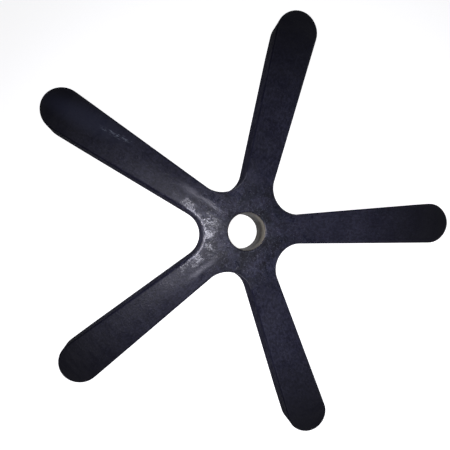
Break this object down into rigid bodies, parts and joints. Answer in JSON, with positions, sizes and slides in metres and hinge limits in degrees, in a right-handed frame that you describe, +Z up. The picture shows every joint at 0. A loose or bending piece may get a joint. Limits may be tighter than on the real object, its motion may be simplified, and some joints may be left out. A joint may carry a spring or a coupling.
{
  "type": "office chair five star base",
  "caption": "Star base of an office chair, moulded in one piece: ridged arms on a hub with a tapered bore for the gas column, ribbed underneath, a caster socket in each tip.",
  "frame": {"origin": "on the hub axis, at the underside of the hub", "axes": "+Z up along the hub axis, +X along the middle of one arm"},
  "size_m": [0.5846, 0.6116, 0.0684],
  "materials": {
    "glass_filled_nylon": "fine spark texture, satin, scuffed"
  },
  "bodies": {
    "root": {"five_star_base": "glass_filled_nylon"}
  },
  "joints": []
}
